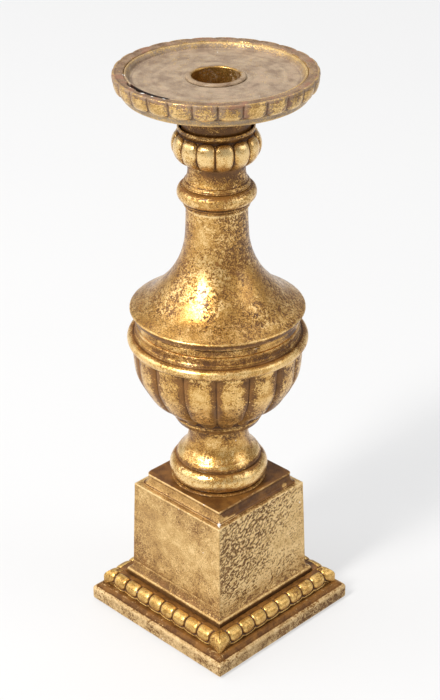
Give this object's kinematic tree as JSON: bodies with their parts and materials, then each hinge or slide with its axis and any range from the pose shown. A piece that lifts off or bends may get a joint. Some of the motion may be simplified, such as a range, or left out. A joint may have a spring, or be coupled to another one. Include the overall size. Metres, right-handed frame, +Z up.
{
  "type": "altar candlestick",
  "caption": "Giltwood altar candlestick with a square pedestal, a gadrooned baluster stem, and a lift-off drip pan with a lift-out candle cup.",
  "frame": {"origin": "on the stem's axis, on the surface that the felt pads stand on", "axes": "+Z up along the stem towards the candle; the faces of the square base look along X and Y"},
  "size_m": [0.114, 0.114, 0.3553],
  "materials": {
    "gilt_wood_burnished": "burnished gold leaf over brown bole, worn on the edges",
    "gilt_wood_matte": "matte worn gold leaf with the brown bole showing",
    "gilt_wood_crackled": "crackled gold leaf over brown bole",
    "pan_wood": "dull rubbed gold leaf with pits and white specks",
    "cup_brass": "lacquered, dulled by wax",
    "fastener_steel": "plain zinc plated",
    "felt": "dark wool felt"
  },
  "bodies": {
    "stand": {"foot_pad_1": "felt", "foot_pad_2": "felt", "foot_pad_3": "felt", "foot_pad_4": "felt", "plinth_slab": "gilt_wood_matte", "plinth_core": "gilt_wood_matte", "gadroon_strip_front": "gilt_wood_burnished", "gadroon_strip_right": "gilt_wood_burnished", "gadroon_strip_back": "gilt_wood_burnished", "gadroon_strip_left": "gilt_wood_burnished", "die_base": "gilt_wood_matte", "pedestal_die": "gilt_wood_crackled", "die_cap": "gilt_wood_matte", "foot_ring": "gilt_wood_burnished", "foot_bell": "gilt_wood_burnished", "gadrooned_bowl": "gilt_wood_burnished", "bowl_rim": "gilt_wood_burnished", "lower_ring": "gilt_wood_matte", "upper_ring": "gilt_wood_matte", "shoulder_bell": "gilt_wood_burnished", "neck_ring": "gilt_wood_burnished", "scotia_collar": "gilt_wood_matte", "gadrooned_knop": "gilt_wood_burnished", "tie_rod": "fastener_steel", "base_washer": "fastener_steel", "base_nut": "fastener_steel", "top_washer": "fastener_steel", "top_nut": "fastener_steel", "slab_screw_1": "fastener_steel", "slab_screw_2": "fastener_steel", "slab_screw_3": "fastener_steel", "slab_screw_4": "fastener_steel"},
    "drip_pan": {"pan_stem": "gilt_wood_matte", "pan_dish": "pan_wood", "pan_rim": "pan_wood"},
    "candle_cup": {"candle_cup": "cup_brass"}
  },
  "joints": [
    {"name": "pan_lift", "type": "slide", "parent": "stand", "child": "drip_pan", "axis": [0, 0, 1], "range_m": [0, 0.035]},
    {"name": "cup_lift", "type": "slide", "parent": "drip_pan", "child": "candle_cup", "axis": [0, 0, 1], "range_m": [0, 0.025]}
  ]
}
